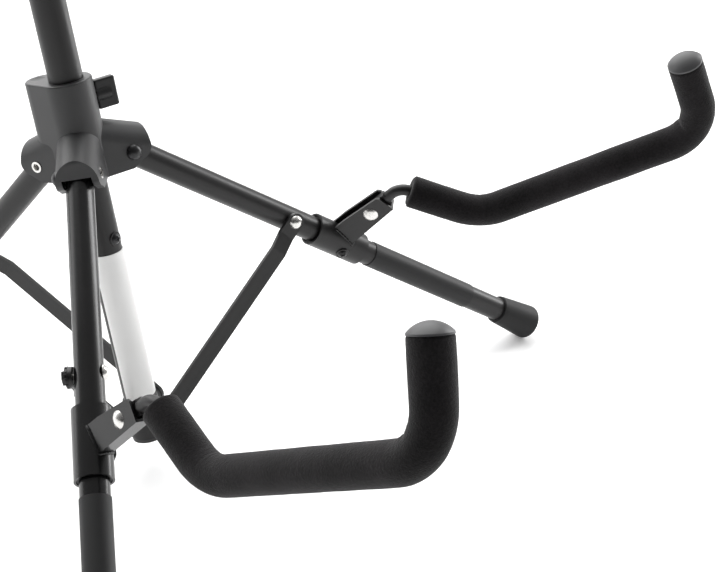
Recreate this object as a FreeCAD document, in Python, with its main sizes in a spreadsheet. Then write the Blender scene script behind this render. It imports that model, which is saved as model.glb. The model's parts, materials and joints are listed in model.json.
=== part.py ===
"""Folding tripod guitar stand: a leaning mast, three hinged legs on a moulded hub, struts, padded arms
and a neck yoke.

Frames. The world frame has its origin on the floor, +Z up, -Y towards the guitar and +X to the right as
seen from the guitar's side. The hub frame has its origin on the mast's axis, level with the leg hinges,
and its Z along the mast, which leans back. Each leg frame has its origin on that leg's hinge, X along the
leg, Y along the hinge pin and Z away from the floor. Each clevis frame has its origin on the arm's rivet,
X out of the leg's sleeve, Y towards the foot and Z along the rivet.

Sizes are millimetres and degrees, and live in the sheet. The near leg is on the left as seen from the
guitar's side, the far leg on the right.
"""
import FreeCAD, Part
import math
import os

import Sketcher
from FreeCAD import Placement, Rotation, Vector

X_AXIS = Vector(1, 0, 0)
Y_AXIS = Vector(0, 1, 0)
Z_AXIS = Vector(0, 0, 1)
ALONG_X = Rotation(Y_AXIS, 90)

SIZES = {
    # stance
    "mast_lean": 9.5,
    "leg_angle": 51.2,
    "hinge_radius": 32.6,
    "stance_y": 72.8,
    # legs and feet
    "leg_od": 20,
    "tube_wall": 1.2,
    "front_leg_end": 437.6,
    "leg_top": 8,
    "foot_len": 40.6,
    "foot_mouth_od": 24.2,
    "foot_end_od": 30,
    "foot_sole": 0.65,
    "foot_round": 3,
    "foot_lip": 3,
    "foot_floor": 6,
    "guard_od": 21.2,
    "guard_start": 242.5,
    "guard_len": 114,
    "rear_guard_len": 40,
    "rear_guard_gap": 34,
    # mast
    "mast_od": 25,
    "mast_bottom": -228,
    "mast_top": 320,
    "stop_screw_z": -60.5,
    "label_od": 26.2,
    "label_top": -71,
    "label_len": 121.5,
    "label_gap": 68,
    # hub
    "hub_top": 62,
    "hub_bottom": -12,
    "collar_radius": 18.4,
    "boss_radius": 13.4,
    "boss_y": 20.8,
    "collar_round": 1.4,
    "hub_bore": 25.3,
    "hood_half": 15.5,
    "slot_half": 10.6,
    "hood_slope": 22,
    "nose_reach": 14.6,
    "nose_top_radius": 7,
    "nose_top_z": 13.2,
    "nose_low_radius": 10,
    "nose_low_z": 2.8,
    "hinge_bolt_d": 6,
    "dome_head_d": 12,
    "dome_head_h": 4.5,
    "barrel_nut_d": 8.4,
    # struts
    "strut_reach": 155.2,
    "rear_strut_reach": 134,
    "front_eye_radius": 17,
    "rear_eye_radius": -3,
    "rear_strut_angle": 50.3,
    "strut_width": 14,
    "strut_thick": 3,
    "strut_gap": 0.4,
    "strut_plane": 15.9,
    "joggle_start": 13,
    "joggle_end": 27,
    "bracket_od": 27.6,
    "bracket_h": 30,
    "lug_thick": 3.6,
    "pin_d": 5,
    # arms
    "sleeve_od": 26.4,
    "sleeve_id": 23.4,
    "sleeve_start": 180.6,
    "sleeve_len": 50,
    "sleeve_screw_reach": 30,
    "screw_boss_d": 10.5,
    "screw_boss_h": 0.7,
    "rivet_reach": 205.3,
    "rivet_off": 44.6,
    "clevis_half": 6.2,
    "plate_thick": 2,
    "clevis_nose": 17,
    "clevis_up": 7.8,
    "clevis_down": 8.8,
    "rod_d": 9,
    "tongue_thick": 6,
    "tongue_width": 10.4,
    "tongue_len": 20,
    "foam_od": 25.4,
    "foam_start": 9,
    "neck_len": 33.1,
    "drop_len": 68.1,
    "rest_len": 188.2,
    "tip_len": 63.2,
    "bend_radius": 21,
    "tip_bend_radius": 27,
    "neck_bend_radius": 13,
    "cap_rim": 1.2,
    "cap_h": 5.9,
    # clamps and neck part
    "knob_height": 45,
    "wing_height": 22,
    "wing_thick": 6.5,
    "knob_start": 18.8,
    "knob_end": 35,
    "clamp_screw_d": 6,
    "insert_d": 9,
    "hub_insert_len": 3.6,
    "neck_insert_len": 5,
    "clutch_h": 52,
    "clutch_od": 36,
    "neck_od": 22,
    "neck_bottom": 170,
    "neck_top": 408,
    "yoke_tilt": 12,
    "yoke_half": 40,
    "yoke_depth": 78,
    "yoke_back": 17,
    "yoke_bend": 22,
    "yoke_foam_od": 22,
    "yoke_cap_h": 9,
}

doc = FreeCAD.newDocument("guitar_stand")
sheet = doc.addObject("Spreadsheet::Sheet", "Dims")
for row, (alias, number) in enumerate(SIZES.items(), start=1):
    sheet.set(f"A{row}", alias)
    sheet.set(f"B{row}", str(number))
    sheet.setAlias(f"B{row}", alias)
doc.recompute()

nodes = {}


def size(alias):
    """The number in the sheet's cell of that alias."""
    return float(getattr(sheet, alias))


def sine(degrees):
    return math.sin(math.radians(degrees))


def cosine(degrees):
    return math.cos(math.radians(degrees))


def shift(x=0, y=0, z=0):
    return Placement(Vector(x, y, z), Rotation())


def turn(axis, degrees):
    return Placement(Vector(), Rotation(axis, degrees))


def keep(node, thing, frame=None):
    """Registers a finished object as a sub-part and puts it at its frame."""
    thing.Label = node
    if frame is not None:
        thing.Placement = frame.multiply(thing.Placement)
    nodes[node] = thing
    return thing


# ---------------------------------------------------------------- small builders


def solid(kind, name, at=None, **sizes):
    """A Part primitive whose sizes are expressions on the sheet."""
    thing = doc.addObject(f"Part::{kind}", name)
    for key, value in sizes.items():
        if isinstance(value, str):
            thing.setExpression(key, value)
        else:
            setattr(thing, key, value)
    if at is not None:
        thing.Placement = at
    return thing


def cylinder(name, radius, height, at=None):
    return solid("Cylinder", name, at, Radius=radius, Height=height)


def fuse(name, *things):
    thing = doc.addObject("Part::MultiFuse", name)
    thing.Shapes = list(things)
    return thing


def common(name, *things):
    thing = doc.addObject("Part::MultiCommon", name)
    thing.Shapes = list(things)
    return thing


def cut(name, base, *tools):
    thing = doc.addObject("Part::Cut", name)
    thing.Base = base
    thing.Tool = tools[0] if len(tools) == 1 else fuse(f"{name}_tools", *tools)
    return thing


def tube(name, outer, inner, length, at=None):
    """A tube along Z from its own origin. outer and inner are diameters, as expressions."""
    body = cylinder(f"{name}_outer", f"({outer}) / 2", length)
    bore = cylinder(f"{name}_bore", f"({inner}) / 2", f"({length}) + 2", shift(z=-1))
    made = cut(name, body, bore)
    if at is not None:
        made.Placement = at
    return made


def dome(name, width, height, at=None):
    """A flat-bottomed dome of that width (a diameter) and height, along Z, as expressions."""
    ball_radius = f"((({width}) / 2) ^ 2 + ({height}) ^ 2) / (2 * ({height}))"
    disc = cylinder(f"{name}_disc", f"({width}) / 2", height)
    ball = solid("Sphere", f"{name}_ball", Radius=ball_radius)
    ball.setExpression("Placement.Base.z", f"({height}) - {ball_radius}")
    made = common(name, disc, ball)
    if at is not None:
        made.Placement = at
    return made


def sketch_polygon(sketch, points):
    """A closed outline whose corners' x and y are expressions, each bound to its own constraint."""
    places = [Vector(evaluate(x), evaluate(y), 0) for x, y in points]
    count = len(points)
    for index in range(count):
        sketch.addGeometry(Part.LineSegment(places[index], places[(index + 1) % count]), False)
    for index in range(count):
        sketch.addConstraint(Sketcher.Constraint("Coincident", index, 2, (index + 1) % count, 1))
    for index, (x, y) in enumerate(points):
        for kind, text, place in (("DistanceX", x, places[index].x), ("DistanceY", y, places[index].y)):
            made = sketch.addConstraint(Sketcher.Constraint(kind, -1, 1, index, 1, place))
            sketch.setExpression(f"Constraints[{made}]", str(text))


def evaluate(text):
    """An expression on the sheet, as a number."""
    return float(sheet.evalExpression(str(text).replace("Dims.", "")))


def new_body(name, plane, points):
    """A PartDesign body with one polygon sketch on one of its own origin planes."""
    body = doc.addObject("PartDesign::Body", name)
    origin_plane = next(o for o in body.Origin.OriginFeatures if o.Role == plane)
    sketch = body.newObject("Sketcher::SketchObject", f"{name}_sketch")
    sketch.AttachmentSupport = [(origin_plane, "")]
    sketch.MapMode = "FlatFace"
    sketch_polygon(sketch, points)
    return body, sketch


def revolved(name, points):
    """A body turned about Z from an outline of (radius, height) expressions."""
    body, sketch = new_body(name, "XZ_Plane", points)
    turned = body.newObject("PartDesign::Revolution", f"{name}_turned")
    turned.Profile = sketch
    turned.ReferenceAxis = (sketch, ["V_Axis"])
    turned.Angle = 360
    body.Tip = turned
    return body


def padded(name, plane, points, thickness):
    """A body of even thickness, half of it each side of the sketch's plane."""
    body, sketch = new_body(name, plane, points)
    pad = body.newObject("PartDesign::Pad", f"{name}_pad")
    pad.Profile = sketch
    pad.setExpression("Length", str(thickness))
    pad.Midplane = True
    body.Tip = pad
    return body


def rounded_path(corners, radii):
    """A wire of straight runs with a tangent arc at each inner corner."""
    edges = []
    start = corners[0]
    for index in range(1, len(corners) - 1):
        before, corner, after = corners[index - 1 : index + 2]
        to_before = (before - corner).normalize()
        to_after = (after - corner).normalize()
        half = to_before.getAngle(to_after) / 2
        radius = radii[index - 1]
        run = radius / math.tan(half)
        middle_way = (to_before + to_after).normalize()
        middle = corner + middle_way * (radius / math.sin(half) - radius)
        enter = corner + to_before * run
        leave = corner + to_after * run
        edges.append(Part.LineSegment(start, enter).toShape())
        edges.append(Part.Arc(enter, middle, leave).toShape())
        start = leave
    edges.append(Part.LineSegment(start, corners[-1]).toShape())
    return Part.Wire(edges)


def swept(name, path, radius, bore=None):
    """A round bar, or a tube if it has a bore, along a wire."""

    def bar(r):
        first = path.OrderedEdges[0]
        centre = first.valueAt(first.FirstParameter)
        forward = first.tangentAt(first.FirstParameter)
        ring = Part.Wire(Part.Circle(centre, forward, r).toShape())
        return path.makePipeShell([ring], True, False)

    shape = bar(radius)
    if bore:
        shape = shape.cut(bar(bore))
    thing = doc.addObject("Part::Feature", name)
    thing.Shape = shape
    return thing


# ---------------------------------------------------------------- frames

MIRROR = {"near": 1, "far": -1}
AZIMUTHS = {"near": 210, "far": -30, "rear": 90}
SIDES = ("near", "far")

lean = size("mast_lean")
splay = size("leg_angle")
foot_round = size("foot_round")
rim_radius = size("foot_end_od") / 2 - foot_round


def leg_drop(azimuth, reach):
    """How far below the hub frame's origin the lowest point of a leg's foot lies, before its sole is cut."""
    hinge_rise = -sine(azimuth) * size("hinge_radius") * sine(lean)
    steepness = cosine(splay) * cosine(lean) + sine(azimuth) * sine(splay) * sine(lean)
    rim_drop = (reach - foot_round) * steepness + rim_radius * math.sqrt(1 - steepness**2)
    return rim_drop + foot_round - hinge_rise


def leg_reach(azimuth, drop):
    """The reach at which a leg's foot has that drop."""
    per_mm = leg_drop(azimuth, 1) - leg_drop(azimuth, 0)
    return (drop - leg_drop(azimuth, 0)) / per_mm


hub_height = leg_drop(AZIMUTHS["near"], size("front_leg_end")) - size("foot_sole")
leg_ends = {"near": size("front_leg_end"), "far": size("front_leg_end")}
leg_ends["rear"] = leg_reach(AZIMUTHS["rear"], leg_drop(AZIMUTHS["near"], size("front_leg_end")))

HUB = Placement(Vector(0, size("stance_y"), hub_height), Rotation(X_AXIS, -lean))


def radial(azimuth):
    """Hub frame turned so that its X points out along a leg's azimuth."""
    return HUB.multiply(turn(Z_AXIS, azimuth))


def leg_frame(leg):
    to_leg = shift(x=size("hinge_radius")).multiply(turn(Y_AXIS, 90 - splay))
    return radial(AZIMUTHS[leg]).multiply(to_leg)


def on_leg(leg, reach=0):
    """Z along the leg, from a place on its axis."""
    return leg_frame(leg).multiply(Placement(Vector(reach, 0, 0), ALONG_X))


def across(frame, x=0, y=0, z=0, flip=False):
    """Z along the frame's Y, or against it if flipped."""
    return frame.multiply(Placement(Vector(x, y, z), Rotation(X_AXIS, 90 if flip else -90)))


# ---------------------------------------------------------------- hub


def hood(leg):
    """One inverted U of the hub: an arched roof over two cheeks, seen from the side as a sloping nose."""
    front = "Dims.hinge_radius + Dims.nose_reach"
    outline = [
        ("6", "Dims.hub_bottom"),
        ("Dims.hinge_radius - 2", "Dims.hub_bottom"),
        (f"{front} - Dims.nose_low_radius * 0.293", "Dims.nose_low_z - Dims.nose_low_radius * 0.707"),
        (front, "Dims.nose_low_z"),
        (front, "Dims.nose_top_z"),
        (f"{front} - Dims.nose_top_radius * 0.6", "Dims.nose_top_z + Dims.nose_top_radius * 0.91"),
        ("6", "36"),
    ]
    flank = padded(f"{leg}_hood_flank", "XZ_Plane", outline, "2 * Dims.hood_half")
    rolls = []
    for part in ("top", "low"):
        radius = size(f"nose_{part}_radius")
        reach = size("hinge_radius") + size("nose_reach") - radius
        roll_at = across(Placement(), x=reach, y=-size("hood_half"), z=size(f"nose_{part}_z"))
        roll = cylinder(f"{leg}_nose_{part}", f"Dims.nose_{part}_radius", "2 * Dims.hood_half", roll_at)
        rolls.append(roll)
    side = fuse(f"{leg}_hood_side", flank, *rolls)
    arch_top = cylinder(f"{leg}_hood_arch", "Dims.hood_half", "80")
    arch_wall = solid("Box", f"{leg}_hood_wall", Length="60", Width="2 * Dims.hood_half", Height="80")
    arch_wall.Placement = Placement(Vector(0, -size("hood_half"), 0), Rotation())
    arch = fuse(f"{leg}_hood_section", arch_top, arch_wall)
    arch.Placement = Placement(Vector(-6, 0, 20.5), Rotation(Y_AXIS, 90 + size("hood_slope")))
    made = common(f"{leg}_hood", side, arch)
    made.Placement = turn(Z_AXIS, AZIMUTHS[leg])
    return made


def hood_slot(leg):
    """The space in a hood that the leg swings in."""
    outline = [
        ("Dims.collar_radius + 0.8", "Dims.hub_bottom - 1"),
        ("Dims.collar_radius + 0.8", "13.6"),
        ("Dims.hinge_radius + 2", "13.6"),
        ("Dims.hinge_radius + 6", "12.4"),
        ("Dims.hinge_radius + 10.4", "9.2"),
        ("Dims.hinge_radius + 11.4", "5"),
        ("Dims.hinge_radius + 20", "-2"),
        ("Dims.hinge_radius + 33", "Dims.hub_bottom - 1"),
    ]
    made = padded(f"{leg}_slot", "XZ_Plane", outline, "2 * Dims.slot_half")
    made.Placement = turn(Z_AXIS, AZIMUTHS[leg])
    return made


def hinge_hole(leg):
    """The pin's hole through both cheeks, with the barrel nut's wider seat on one side."""
    at_hinge = turn(Z_AXIS, AZIMUTHS[leg]).multiply(shift(x=size("hinge_radius")))
    pin = cylinder(f"{leg}_pin_hole", "Dims.hinge_bolt_d / 2", "60", across(at_hinge, y=-30))
    seat = cylinder(f"{leg}_nut_seat", "Dims.barrel_nut_d / 2", "20", across(at_hinge, y=size("slot_half")))
    return [pin, seat]


def collar():
    """The upper collar: a round barrel blended into a smaller round boss behind it."""
    height = "Dims.hub_top - Dims.hub_bottom"
    base = shift(z=size("hub_bottom"))
    barrel = cylinder("collar_barrel", "Dims.collar_radius", height, base)
    boss = cylinder("collar_boss", "Dims.boss_radius", height, shift(0, size("boss_y"), size("hub_bottom")))
    slant = math.asin((size("collar_radius") - size("boss_radius")) / size("boss_y"))
    corners = []
    for radius, centre in ((size("collar_radius"), 0), (size("boss_radius"), size("boss_y"))):
        x, y = radius * math.cos(slant), centre + radius * math.sin(slant)
        corners.append((x, y))
    (x0, y0), (x1, y1) = corners
    outline = [(str(x0), str(y0)), (str(x1), str(y1)), (str(-x1), str(y1)), (str(-x0), str(y0))]
    web = padded("collar_web", "XY_Plane", outline, height)
    web.Placement = shift(z=(size("hub_top") + size("hub_bottom")) / 2)
    sharp = fuse("collar_sharp", barrel, boss, web)
    sharp.Refine = True
    doc.recompute()
    rounded = doc.addObject("Part::Fillet", "collar")
    rounded.Base = sharp
    rounded.Edges = [
        (index, size("collar_round"), size("collar_round"))
        for index, edge in enumerate(sharp.Shape.Edges, start=1)
        if edge.BoundBox.ZMin > size("hub_top") - 0.01
    ]
    return rounded


HUB_INSERT_START = 13.5  # how far from the mast's axis the clamps' threaded inserts start
NECK_INSERT_START = 12.6


def make_hub():
    block = fuse("hub_block", collar(), *[hood(leg) for leg in AZIMUTHS])
    bore = cylinder("hub_bore", "Dims.hub_bore / 2", "120", shift(z=-40))
    dimple = solid("Sphere", "boss_dimple", shift(0, size("boss_y") + 5, size("hub_top") + 10), Radius="11.5")
    knob_way = turn(Z_AXIS, AZIMUTHS["far"]).multiply(shift(z=size("knob_height")))
    insert_at = knob_way.multiply(Placement(Vector(HUB_INSERT_START, 0, 0), ALONG_X))
    insert_hole = cylinder("insert_hole", "Dims.insert_d / 2", "8", insert_at)
    screw_at = knob_way.multiply(Placement(Vector(), ALONG_X))
    screw_hole = cylinder("hub_screw_hole", "Dims.clamp_screw_d / 2 + 0.1", "30", screw_at)
    tools = [bore, dimple, insert_hole, screw_hole]
    for leg in AZIMUTHS:
        tools.append(hood_slot(leg))
        tools.extend(hinge_hole(leg))
    keep("hub", cut("hub", block, *tools), HUB)


def hinge_hardware():
    """Pins with black dome heads on one cheek, and bright barrel nuts let into the other."""
    pins, nuts = [], []
    for leg in AZIMUTHS:
        at_hinge = turn(Z_AXIS, AZIMUTHS[leg]).multiply(shift(x=size("hinge_radius")))
        half = size("hood_half")
        length = str(half + size("slot_half") + 1)
        shank = cylinder(f"{leg}_shank", "Dims.hinge_bolt_d / 2", length, across(at_hinge, y=-half))
        head_at = across(at_hinge, y=-half, flip=True)
        head = dome(f"{leg}_head", "Dims.dome_head_d", "Dims.dome_head_h", head_at)
        pins.append(fuse(f"{leg}_hinge_pin", shank, head))
        barrel = cylinder(f"{leg}_nut_barrel", "Dims.barrel_nut_d / 2", str(half - size("slot_half") + 0.6))
        socket = solid("Prism", f"{leg}_nut_socket", shift(z=2.4), Polygon=6, Circumradius="2.9", Height="4")
        thread = cylinder(f"{leg}_nut_thread", "Dims.hinge_bolt_d / 2 + 0.02", "1.05", shift(z=-0.001))
        nut = cut(f"{leg}_hinge_nut", barrel, socket, thread)
        nut.Placement = across(at_hinge, y=size("slot_half"))
        nuts.append(nut)
    keep("hinge_pins", fuse("hinge_pins", *pins), HUB)
    keep("hinge_nuts", fuse("hinge_nuts", *nuts), HUB)


# ---------------------------------------------------------------- mast


def cross_screw(name, width, height, shank, length):
    """A pan-head screw with a cross recess: head above Z 0, shank below."""
    head = dome(f"{name}_pan", str(width), str(height))
    stem = cylinder(f"{name}_stem", str(shank / 2), str(length), shift(z=-length))
    slots = []
    for angle in (0, 90):
        long, wide = str(width * 0.55), str(width * 0.14)
        slot = solid("Box", f"{name}_slot{angle}", Length=long, Width=wide, Height="5")
        slot.Placement = turn(Z_AXIS, angle).multiply(shift(-width * 0.275, -width * 0.07, height * 0.45))
        slots.append(slot)
    return cut(name, fuse(f"{name}_blank", head, stem), *slots)


LABEL_SEAM = 100  # degrees about the mast at which the white wrap's open seam starts


def make_mast():
    length = "Dims.mast_top - Dims.mast_bottom"
    bore = "Dims.mast_od - 2 * Dims.tube_wall"
    mast = tube("mast_tube_whole", "Dims.mast_od", bore, length, shift(z=size("mast_bottom")))
    screw_way = shift(z=size("stop_screw_z")).multiply(turn(Z_AXIS, -95)).multiply(turn(Y_AXIS, 90))
    hole = cylinder("stop_hole", "2", "20", screw_way)
    boss = cylinder("stop_boss", "Dims.screw_boss_d / 2", "Dims.mast_od / 2 + Dims.screw_boss_h", screw_way)
    inside = cylinder("mast_inside", f"({bore}) / 2", "60", shift(z=size("stop_screw_z") - 30))
    keep("mast_tube", cut("mast_tube", fuse("mast_blank", mast, boss), inside, hole), HUB)
    screw = cross_screw("stop_screw", 8.6, 2.2, 4, 5)
    screw.Placement = screw_way.multiply(shift(z=size("mast_od") / 2 + size("screw_boss_h")))
    keep("stop_screw", screw, HUB)
    label_base = HUB.multiply(shift(z=size("label_top") - size("label_len")))
    wrap = tube("lower_sleeve_wrap", "Dims.label_od", "Dims.mast_od", "Dims.label_len")
    seam_at = shift(z=-1).multiply(turn(Z_AXIS, LABEL_SEAM))
    seam = cylinder("lower_sleeve_seam", "20", "Dims.label_len + 2", seam_at)
    seam.setExpression("Angle", "Dims.label_gap")
    keep("lower_sleeve", cut("lower_sleeve", wrap, seam), label_base)
    tube_radius = "Dims.mast_od / 2"
    plug_radius = f"{tube_radius} - Dims.tube_wall"
    outline = [
        ("0", "0"),
        (tube_radius, "0"),
        (tube_radius, "2.5"),
        (plug_radius, "2.5"),
        (plug_radius, "8"),
        ("0", "8"),
    ]
    keep("mast_plug", revolved("mast_plug", outline), HUB.multiply(shift(z=size("mast_bottom") - 2.5)))


# ---------------------------------------------------------------- legs


def make_leg(leg):
    end = leg_ends[leg]
    foot_start = end - size("foot_len")
    tube_end = end - size("foot_floor")
    inner = "Dims.leg_od - 2 * Dims.tube_wall"
    pipe_at = Placement(Vector(-size("leg_top"), 0, 0), ALONG_X)
    pipe = tube(f"{leg}_leg_pipe", "Dims.leg_od", inner, f"{tube_end} + Dims.leg_top", pipe_at)
    pin_at = across(Placement(), y=-20)
    pin_hole = cylinder(f"{leg}_leg_pin_hole", "Dims.hinge_bolt_d / 2 + 0.05", "40", pin_at)
    bolt_at = across(Placement(), x=strut_reach(leg), y=-20)
    bolt_hole = cylinder(f"{leg}_bolt_hole", "Dims.pin_d / 2", "40", bolt_at)
    holes = [pin_hole, bolt_hole]
    if leg in SIDES:
        screw_x = size("sleeve_start") + size("sleeve_screw_reach")
        screw_way = Placement(Vector(screw_x, 0, 0), Rotation(X_AXIS, 180 + MIRROR[leg] * 52))
        holes.append(cylinder(f"{leg}_leg_screw_hole", "2", "14", screw_way))
    keep(f"{leg}_leg", cut(f"{leg}_leg", pipe, *holes), leg_frame(leg))
    guard_len = "Dims.guard_len"
    guard_start = size("guard_start")
    if leg == "rear":
        guard_len = "Dims.rear_guard_len"
        guard_start = foot_start - size("rear_guard_len") - size("rear_guard_gap")
    guard = tube(f"{leg}_leg_guard", "Dims.guard_od", "Dims.leg_od", guard_len)
    keep(f"{leg}_leg_guard", guard, on_leg(leg, guard_start))
    make_foot(leg, foot_start)


def end_rims(thing, radius):
    """The numbers of the round edges of that radius that are furthest down a leg."""
    rims = []
    for index, edge in enumerate(thing.Shape.Edges, start=1):
        if isinstance(edge.Curve, Part.Circle) and abs(edge.Curve.Radius - radius) < 0.001:
            rims.append((edge.Curve.Center.z, index))
    lowest = min(rims)[0]
    return [index for height, index in rims if height < lowest + 0.01]


def make_foot(leg, start):
    """A flared rubber foot with a rounded end, hollow for the tube and cut flat where it meets the floor."""
    tube_radius = "Dims.leg_od / 2"
    blind = "Dims.foot_len - Dims.foot_floor"
    outline = [
        (tube_radius, "0"),
        ("Dims.foot_mouth_od / 2", "0"),
        ("Dims.foot_mouth_od / 2 + 0.4", "Dims.foot_lip"),
        ("Dims.foot_end_od / 2", "Dims.foot_len - Dims.foot_round - 1"),
        ("Dims.foot_end_od / 2", "Dims.foot_len"),
        ("0", "Dims.foot_len"),
        ("0", blind),
        (tube_radius, blind),
    ]
    flare = revolved(f"{leg}_foot_flare", outline)
    flare.Placement = on_leg(leg, start)
    doc.recompute()
    rounded = doc.addObject("Part::Fillet", f"{leg}_foot_rounded")
    rounded.Base = flare
    rounded.Edges = [(index, foot_round, foot_round) for index in end_rims(flare, size("foot_end_od") / 2)]
    floor_at = shift(-600, -600, -60)
    floor = solid("Box", f"{leg}_foot_floor", floor_at, Length="1200", Width="1200", Height="60")
    keep(f"{leg}_foot", cut(f"{leg}_foot", rounded, floor))


# ---------------------------------------------------------------- struts and bracket


def strut_reach(leg):
    """How far down its leg a strut's bolt is."""
    return size("rear_strut_reach") if leg == "rear" else size("strut_reach")


def strut_angle(leg):
    """A strut's angle to the mast. The front struts mirror their legs."""
    return size("rear_strut_angle") if leg == "rear" else splay


def eye_radius(leg):
    """How far from the mast's axis a strut's lower eye is, towards its leg."""
    return size("rear_eye_radius") if leg == "rear" else size("front_eye_radius")


def strut_length(leg):
    run = size("hinge_radius") + strut_reach(leg) * sine(splay) - eye_radius(leg)
    return run / sine(strut_angle(leg))


def strut_frame(leg):
    at_bolt = leg_frame(leg).multiply(shift(x=strut_reach(leg)))
    return at_bolt.multiply(turn(Y_AXIS, splay + strut_angle(leg)))


def eye_height(leg):
    """The height of a strut's lower eye in the hub frame."""
    return -strut_reach(leg) * cosine(splay) - strut_length(leg) * cosine(strut_angle(leg))


def make_strut(leg):
    """A flat bar with round ends, stepped sideways near the leg so that its lower run clears the bracket."""
    length = strut_length(leg)
    near_y = -(size("leg_od") / 2 + size("strut_gap"))
    step = size("strut_plane") - size("strut_thick") / 2 + near_y
    outline = [
        (str(-size("strut_width") / 2), str(near_y)),
        ("Dims.joggle_start", str(near_y)),
        ("Dims.joggle_end", str(near_y - step)),
        (f"{length} + Dims.strut_width / 2", str(near_y - step)),
        (f"{length} + Dims.strut_width / 2", f"{near_y - step} - Dims.strut_thick"),
        ("Dims.joggle_end", f"{near_y - step} - Dims.strut_thick"),
        ("Dims.joggle_start", f"{near_y} - Dims.strut_thick"),
        (str(-size("strut_width") / 2), f"{near_y} - Dims.strut_thick"),
    ]
    bent = padded(f"{leg}_strut_bent", "XY_Plane", outline, "Dims.strut_width")
    ends, holes = [], []
    for x in (0, length):
        eye_at = across(Placement(), x=x, y=-26)
        ends.append(cylinder(f"{leg}_strut_end{x:.0f}", "Dims.strut_width / 2", "20", eye_at))
        holes.append(cylinder(f"{leg}_strut_hole{x:.0f}", "Dims.pin_d / 2 + 0.05", "20", eye_at))
    middle = solid("Box", f"{leg}_strut_middle", Length=str(length), Width="20", Height="Dims.strut_width")
    middle.Placement = shift(0, -26, -size("strut_width") / 2)
    shape = common(f"{leg}_strut_shape", bent, fuse(f"{leg}_strut_slot", *ends, middle))
    keep(f"{leg}_strut", cut(f"{leg}_strut", shape, *holes), strut_frame(leg))
    face = -(size("strut_plane") + size("strut_thick") / 2)
    at_eye = Placement(Vector(length, 0, 0), Rotation())
    shank_at = across(at_eye, y=face)
    shank = cylinder(f"{leg}_rivet_shank", "Dims.pin_d / 2 + 0.05", "Dims.strut_thick", shank_at)
    head = dome(f"{leg}_rivet_head", "10.5", "2.4", across(at_eye, y=face, flip=True))
    keep(f"{leg}_strut_rivet", fuse(f"{leg}_strut_rivet", shank, head), strut_frame(leg))


def serrated_nut(name, width, height, bore):
    """A nut on a round flange whose rim is scalloped."""
    hexagon = solid("Prism", f"{name}_hex", Polygon=6, Circumradius=str(width * 0.36), Height=str(height))
    flange = cylinder(f"{name}_flange", str(width / 2), "1.8")
    nicks = []
    for index in range(12):
        nick = cylinder(f"{name}_nick{index}", "0.9", "4")
        nick.Placement = turn(Z_AXIS, index * 30).multiply(shift(width / 2 + 0.3, 0, -1))
        nicks.append(nick)
    hole = cylinder(f"{name}_hole", bore, str(height + 2), shift(z=-1))
    return cut(name, fuse(f"{name}_blank", hexagon, flange), hole, *nicks)


def strut_hardware(leg):
    """The bolt that joins a strut to its leg. On the near leg the nut is outermost, elsewhere the dome is."""
    frame = leg_frame(leg).multiply(shift(x=strut_reach(leg)))
    leg_side = size("leg_od") / 2
    strut_side = leg_side + size("strut_gap") + size("strut_thick") + 0.05
    head_first = leg != "near"
    shank_len = leg_side + strut_side + 3.2
    if head_first:
        head_at = across(frame, y=-strut_side, flip=True)
        shank_at = across(frame, y=-strut_side)
        nut_at = across(frame, y=leg_side)
    else:
        head_at = across(frame, y=leg_side)
        shank_at = across(frame, y=leg_side, flip=True)
        nut_at = across(frame, y=-strut_side, flip=True)
    shank = cylinder(f"{leg}_strut_bolt_shank", "Dims.pin_d / 2", str(shank_len), shank_at)
    head = dome(f"{leg}_strut_bolt_head", "11", "3.6", head_at)
    keep(f"{leg}_strut_bolt", fuse(f"{leg}_strut_bolt", shank, head))
    nut = serrated_nut(f"{leg}_strut_nut", 15, 4.2, "Dims.pin_d / 2")
    keep(f"{leg}_strut_nut", nut, nut_at)


def make_bracket():
    """The collar at the foot of the mast, with one upright lug beside each strut."""
    ring_at = shift(z=size("mast_bottom") + 2)
    ring = tube("bracket_ring", "Dims.bracket_od", "Dims.mast_od", "Dims.bracket_h", ring_at)
    inner_face = size("strut_plane") - size("strut_thick") / 2 - size("strut_gap")
    lugs = []
    for leg in AZIMUTHS:
        radius, height = eye_radius(leg), eye_height(leg)
        eye_at = across(Placement(), x=radius, y=-inner_face, z=height)
        eye = cylinder(f"{leg}_lug_eye", "6.5", "Dims.lug_thick", eye_at)
        arm = solid("Box", f"{leg}_lug_arm", Length=str(abs(radius)), Width="Dims.lug_thick", Height="13")
        arm.Placement = shift(min(radius, 0), -inner_face, height - 6.5)
        lug = fuse(f"{leg}_lug", eye, arm)
        lug.Placement = turn(Z_AXIS, AZIMUTHS[leg])
        lugs.append(lug)
    clear = cylinder("bracket_bore", "Dims.mast_od / 2", "80", shift(z=size("mast_bottom") - 10))
    keep("strut_bracket", cut("strut_bracket", fuse("bracket_blank", ring, *lugs), clear), HUB)


# ---------------------------------------------------------------- arms

CLEVIS_WAY = 48.4  # degrees from the hinge pin's direction towards the leg's upper side
FOLD_SKEW = -17.3  # degrees that the rivet is turned away from square to the leg
DIP_REST = -18.3  # the three runs of an arm, in degrees from the clevis's direction, in the arm's plane
DIP_FIRST = -66.8
RISE_TIP = 63.3


def clevis_frame(side):
    sign = MIRROR[side]
    out = Vector(0, sign * cosine(CLEVIS_WAY), sine(CLEVIS_WAY))
    square = Vector(0, sign * sine(CLEVIS_WAY), -cosine(CLEVIS_WAY))
    rivet = square * cosine(FOLD_SKEW) + X_AXIS * sine(FOLD_SKEW)
    rivet = rivet * sign
    place = X_AXIS * size("rivet_reach") + out * size("rivet_off")
    basis = Rotation(out, rivet.cross(out), rivet, "ZXY")
    return leg_frame(side).multiply(Placement(place, basis))


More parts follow.
